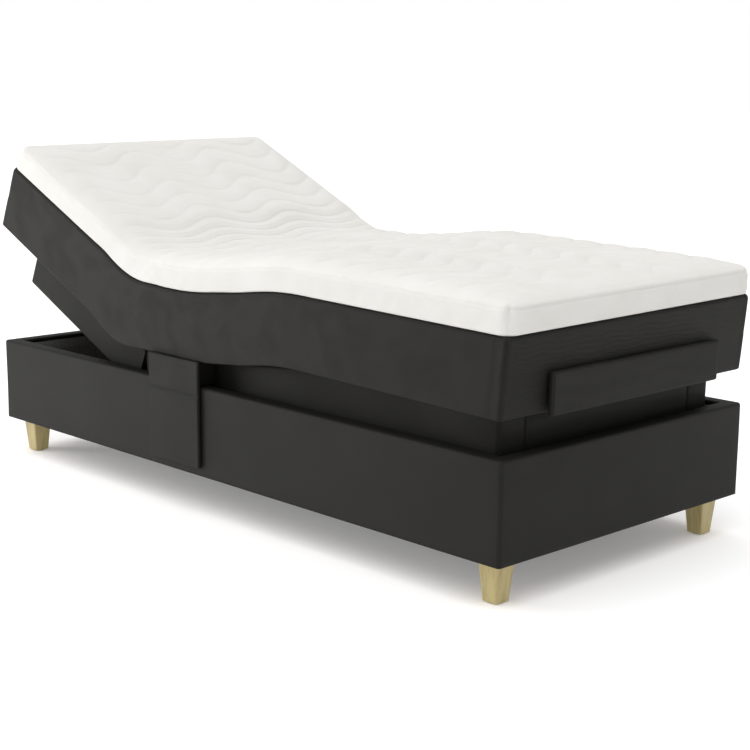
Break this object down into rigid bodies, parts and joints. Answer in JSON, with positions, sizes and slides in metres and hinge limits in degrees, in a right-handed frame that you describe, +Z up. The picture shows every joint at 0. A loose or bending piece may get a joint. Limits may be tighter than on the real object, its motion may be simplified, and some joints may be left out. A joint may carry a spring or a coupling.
{
  "type": "adjustable bed",
  "caption": "Single bed with a motorised reclining back and a raised knee section: an upholstered plinth on short tapered wooden legs, a jointed mattress carrier, a thick mattress and a topper.",
  "frame": {"origin": "centre of the bed's footprint, on the floor", "axes": "+X across the bed, +Y from the foot to the head, +Z up"},
  "size_m": [0.924, 2.021, 0.9173],
  "materials": {
    "charcoal_fabric": "fine woven upholstery, matte",
    "mattress_fabric": "fine woven stretch cover, matte",
    "topper_fabric": "quilted knit",
    "light_wood": "lacquered birch",
    "frame_board": "planed pine",
    "deck_board": "dark film-faced plywood",
    "dust_cloth": "non-woven",
    "black_steel": "satin powder coat",
    "zinc_steel": "zinc plated",
    "drive_plastic": "moulded",
    "nylon": "moulded nylon",
    "motor_steel": "satin",
    "glide_plastic": "felt-faced"
  },
  "bodies": {
    "base": {"plinth_side_left": "frame_board", "plinth_side_right": "frame_board", "plinth_foot_board": "frame_board", "plinth_head_board": "frame_board", "plinth_cover": "charcoal_fabric", "dust_cover": "dust_cloth", "support_beams": "frame_board", "seat_rails": "charcoal_fabric", "seat_deck": "deck_board", "seat_spacers": "charcoal_fabric", "anchor_panels": "frame_board", "anchor_covers": "charcoal_fabric", "bearing_plates": "black_steel", "tube_bushes": "nylon", "drive_housing_lower": "drive_plastic", "drive_housing_upper": "drive_plastic", "tube_locks": "drive_plastic", "drive_motors": "motor_steel", "control_box": "drive_plastic", "link_posts": "black_steel", "leg_foot_left": "light_wood", "leg_foot_right": "light_wood", "leg_head_left": "light_wood", "leg_head_right": "light_wood", "corner_blocks": "frame_board", "leg_studs": "zinc_steel", "leg_glides": "glide_plastic", "mattress_seat": "mattress_fabric", "topper_seat": "topper_fabric"},
    "back_section": {"back_frame_boards": "frame_board", "back_cross_rail": "frame_board", "back_deck": "deck_board", "back_cover": "charcoal_fabric", "back_torsion_tube": "black_steel", "back_lift_arms": "black_steel"},
    "back_mattress": {"mattress_back": "mattress_fabric", "topper_back": "topper_fabric"},
    "thigh_section": {"thigh_frame_boards": "frame_board", "thigh_deck": "deck_board", "thigh_cover": "charcoal_fabric", "thigh_torsion_tube": "black_steel", "thigh_lift_arms": "black_steel", "knee_leaves_thigh": "black_steel", "mattress_thigh": "mattress_fabric", "topper_thigh": "topper_fabric"},
    "leg_section": {"leg_frame_boards": "frame_board", "leg_deck": "deck_board", "leg_cover": "charcoal_fabric", "knee_leaves_leg": "black_steel", "knee_pins": "zinc_steel", "link_brackets": "black_steel", "retainer_brackets": "black_steel", "retainer_pad": "charcoal_fabric", "mattress_leg": "mattress_fabric", "topper_leg": "topper_fabric"},
    "back_nut": {"back_drive_nut": "nylon"},
    "thigh_nut": {"thigh_drive_nut": "nylon"},
    "back_screw": {"back_spindle": "zinc_steel"},
    "thigh_screw": {"thigh_spindle": "zinc_steel"},
    "leg_link_pair": {"leg_links": "black_steel"}
  },
  "joints": [
    {"name": "back_hinge", "type": "hinge", "parent": "base", "child": "back_section", "pos_m": [0, 0.39, 0.385], "axis": [1, 0, 0], "range_deg": [-24.5, 30.5]},
    {"name": "back_mattress_slip", "type": "slide", "parent": "back_section", "child": "back_mattress", "axis": [0, 0.91, 0.4147], "range_m": [-0.0535, 0.0666]},
    {"name": "thigh_hinge", "type": "hinge", "parent": "base", "child": "thigh_section", "pos_m": [0, 0.03, 0.385], "axis": [-1, 0, 0], "range_deg": [-5.5, 24.5]},
    {"name": "knee_hinge", "type": "hinge", "parent": "thigh_section", "child": "leg_section", "pos_m": [0, -0.31839, 0.41855], "axis": [1, 0, 0], "range_deg": [-6.91, 30.75]},
    {"name": "back_nut_travel", "type": "slide", "parent": "base", "child": "back_nut", "axis": [0, 1, 0], "range_m": [-0.0292, 0.0363]},
    {"name": "thigh_nut_travel", "type": "slide", "parent": "base", "child": "thigh_nut", "axis": [0, -1, 0], "range_m": [-0.0074, 0.0326]},
    {"name": "back_spindle_spin", "type": "hinge", "parent": "base", "child": "back_screw", "pos_m": [0, 0.39, 0.32], "axis": [0, 1, 0], "range_deg": [-880, 1090]},
    {"name": "thigh_spindle_spin", "type": "hinge", "parent": "base", "child": "thigh_screw", "pos_m": [0, 0.03, 0.32], "axis": [0, 1, 0], "range_deg": [-225, 980]},
    {"name": "leg_link_swing", "type": "hinge", "parent": "base", "child": "leg_link_pair", "pos_m": [0, -0.2021, 0.32842], "axis": [-1, 0, 0], "range_deg": [-6.4, 28.1]}
  ],
  "couplings": [
    {"joint": "back_mattress_slip", "follows": "back_hinge", "m_per_rad": 0.125},
    {"joint": "knee_hinge", "follows": "thigh_hinge", "ratio": 1.2545},
    {"joint": "back_nut_travel", "follows": "back_hinge", "m_per_rad": 0.068},
    {"joint": "thigh_nut_travel", "follows": "thigh_hinge", "m_per_rad": 0.076},
    {"joint": "back_spindle_spin", "follows": "back_hinge", "ratio": 35.605},
    {"joint": "thigh_spindle_spin", "follows": "thigh_hinge", "ratio": 39.794},
    {"joint": "leg_link_swing", "follows": "thigh_hinge", "ratio": 1.1386}
  ]
}
